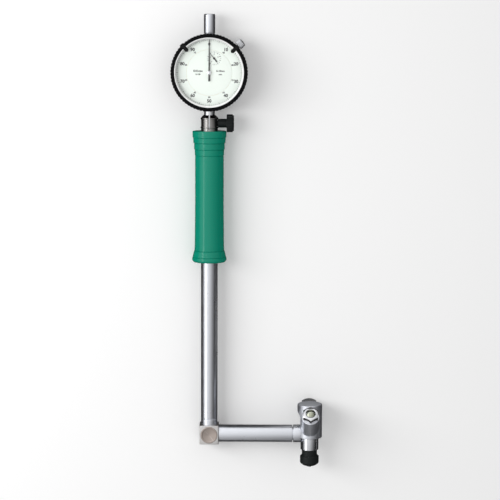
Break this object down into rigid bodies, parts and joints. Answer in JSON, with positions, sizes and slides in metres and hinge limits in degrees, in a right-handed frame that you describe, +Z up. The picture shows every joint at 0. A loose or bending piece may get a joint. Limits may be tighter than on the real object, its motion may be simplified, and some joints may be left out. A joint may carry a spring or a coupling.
{
  "type": "right-angle dial bore gauge",
  "caption": "Dial bore gauge with a moulded grip, a long tube, a right-angle arm and a three-point measuring head.",
  "frame": {"origin": "middle of the gauge's outline at the surface it lies on", "axes": "+Z up, +Y along the long tube towards the dial, +X along the short arm towards the measuring head"},
  "size_m": [0.1152, 0.342, 0.0478],
  "materials": {
    "grip_plastic": "gloss green moulded plastic",
    "satin_chrome": "satin chrome plate",
    "polished_steel": "polished plated steel",
    "elbow_steel": "turned steel, nickel grey",
    "black_steel": "black oxide, semi gloss",
    "black_plastic": "black, satin",
    "hard_tip": "polished carbide",
    "case_alloy": "dark enamel on die-cast alloy",
    "bright_ring": "bright plate",
    "bush_bronze": "turned bronze",
    "movement_brass": "fine-grained brass",
    "dial_paint": "pale mint white enamel",
    "hand_paint": "black enamel",
    "crystal_clear": "clear acrylic",
    "spring_steel": "drawn spring wire"
  },
  "bodies": {
    "root": {"grip": "grip_plastic", "main_tube": "satin_chrome", "clamp_collar": "polished_steel", "lower_bush": "bush_bronze", "upper_bush": "bush_bronze", "elbow_block": "elbow_steel", "elbow_cover_front": "elbow_steel", "elbow_cover_back": "elbow_steel", "elbow_pin": "polished_steel", "arm_tube": "satin_chrome", "arm_bush_inner": "bush_bronze", "arm_bush_outer": "bush_bronze", "arm_collar": "polished_steel", "head_body": "polished_steel", "nut_front": "polished_steel", "nut_rear": "polished_steel", "centring_pin_front": "polished_steel", "centring_pin_rear": "polished_steel", "sleeve": "polished_steel", "spring_seat": "elbow_steel", "plunger_key": "polished_steel", "head_pin": "polished_steel", "plunger_spring": "spring_steel"},
    "contact": {"plunger": "black_steel", "contact_tip": "hard_tip"},
    "head_lever": {"head_crank": "elbow_steel"},
    "arm_push_rod": {"arm_rod": "polished_steel"},
    "elbow_lever": {"elbow_crank": "elbow_steel"},
    "main_push_rod": {"main_rod": "polished_steel"},
    "thumb_screw": {"clamp_screw": "black_steel"},
    "indicator": {"indicator_case": "case_alloy", "back_lid": "case_alloy", "lid_screws": "bright_ring", "stem": "polished_steel", "top_bush": "bush_bronze", "spindle_cap": "polished_steel", "main_plate": "movement_brass", "front_plate": "movement_brass", "bridge_plate": "movement_brass", "plate_pillars": "movement_brass", "dial_plate": "dial_paint", "hairspring": "spring_steel", "return_spring": "spring_steel", "guide_rail": "movement_brass", "lock_shoe": "bright_ring"},
    "spindle_set": {"spindle": "polished_steel", "contact_point": "polished_steel", "guide_pin": "polished_steel"},
    "first_gear": {"first_wheel": "movement_brass"},
    "centre_gear": {"centre_arbor": "movement_brass", "pointer": "hand_paint"},
    "takeup_gear": {"takeup_wheel": "movement_brass", "counter_hand": "hand_paint"},
    "bezel_set": {"bezel": "black_plastic", "dial_ring": "dial_paint", "crystal": "crystal_clear", "crystal_ring": "bright_ring"},
    "left_marker": {"marker_left": "black_steel"},
    "right_marker": {"marker_right": "black_steel"},
    "bezel_lock": {"lock_screw": "bright_ring"}
  },
  "joints": [
    {"name": "contact_slide", "type": "slide", "parent": "root", "child": "contact", "axis": [-0.0002, 1, 0.001], "range_m": [0, 0.0012], "stiffness_N_per_m": 600, "springref_m": -0.004, "deforming": ["plunger_spring"]},
    {"name": "head_lever_turn", "type": "hinge", "parent": "root", "child": "head_lever", "pos_m": [0.04482, -0.1484, 0.02341], "axis": [-0.1449, -0.001, 0.9894], "range_deg": [-0.5, 20.72]},
    {"name": "arm_rod_slide", "type": "slide", "parent": "root", "child": "arm_push_rod", "axis": [-0.9895, 0, -0.1449], "range_m": [0, 0.0012]},
    {"name": "elbow_lever_turn", "type": "hinge", "parent": "root", "child": "elbow_lever", "pos_m": [-0.02415, -0.1416, 0.01332], "axis": [0.1449, 0.001, -0.9894], "range_deg": [-0.5, 20.72]},
    {"name": "main_rod_slide", "type": "slide", "parent": "root", "child": "main_push_rod", "axis": [-0.0002, 1, 0.001], "range_m": [0, 0.0012]},
    {"name": "clamp_screw_turn", "type": "hinge", "parent": "root", "child": "thumb_screw", "pos_m": [-0.01488, 0.0906, 0.01492], "axis": [0.9895, 0, 0.1449], "range_deg": [0, 270]},
    {"name": "indicator_swivel", "type": "hinge", "parent": "root", "child": "indicator", "pos_m": [-0.02755, 0.0944, 0.01307], "axis": [-0.0002, 1, 0.001], "continuous": true},
    {"name": "spindle_slide", "type": "slide", "parent": "indicator", "child": "spindle_set", "axis": [-0.0002, 1, 0.001], "range_m": [0, 0.0012], "deforming": ["return_spring"]},
    {"name": "first_wheel_turn", "type": "hinge", "parent": "indicator", "child": "first_gear", "pos_m": [-0.03169, 0.11759, 0.01684], "axis": [-0.1449, -0.001, 0.9894], "range_deg": [-1, 44.2]},
    {"name": "pointer_turn", "type": "hinge", "parent": "indicator", "child": "centre_gear", "pos_m": [-0.02891, 0.12799, 0.02241], "axis": [0.1449, 0.001, -0.9894], "range_deg": [-5, 437]},
    {"name": "counter_turn", "type": "hinge", "parent": "indicator", "child": "takeup_gear", "pos_m": [-0.02532, 0.1384, 0.02234], "axis": [-0.1449, -0.001, 0.9894], "range_deg": [-1, 44.2], "deforming": ["hairspring"]},
    {"name": "bezel_turn", "type": "hinge", "parent": "indicator", "child": "bezel_set", "pos_m": [-0.02946, 0.12799, 0.02617], "axis": [-0.1449, -0.001, 0.9894], "continuous": true},
    {"name": "marker_left_turn", "type": "hinge", "parent": "bezel_set", "child": "left_marker", "pos_m": [-0.02946, 0.12799, 0.02617], "axis": [-0.1449, -0.001, 0.9894], "range_deg": [-30, 30]},
    {"name": "marker_right_turn", "type": "hinge", "parent": "bezel_set", "child": "right_marker", "pos_m": [-0.02946, 0.12799, 0.02617], "axis": [-0.1449, -0.001, 0.9894], "range_deg": [-30, 30]},
    {"name": "bezel_lock_turn", "type": "hinge", "parent": "indicator", "child": "bezel_lock", "pos_m": [-0.00621, 0.14853, 0.01828], "axis": [0.7212, 0.6845, 0.1063], "range_deg": [0, 270]}
  ],
  "couplings": [
    {"joint": "head_lever_turn", "follows": "contact_slide", "rad_per_m": 294.12},
    {"joint": "arm_rod_slide", "follows": "contact_slide", "ratio": 1},
    {"joint": "elbow_lever_turn", "follows": "contact_slide", "rad_per_m": 294.12},
    {"joint": "main_rod_slide", "follows": "contact_slide", "ratio": 1},
    {"joint": "spindle_slide", "follows": "contact_slide", "ratio": 1},
    {"joint": "first_wheel_turn", "follows": "contact_slide", "rad_per_m": 628.32},
    {"joint": "pointer_turn", "follows": "contact_slide", "rad_per_m": 6283.2},
    {"joint": "counter_turn", "follows": "contact_slide", "rad_per_m": 628.32}
  ]
}
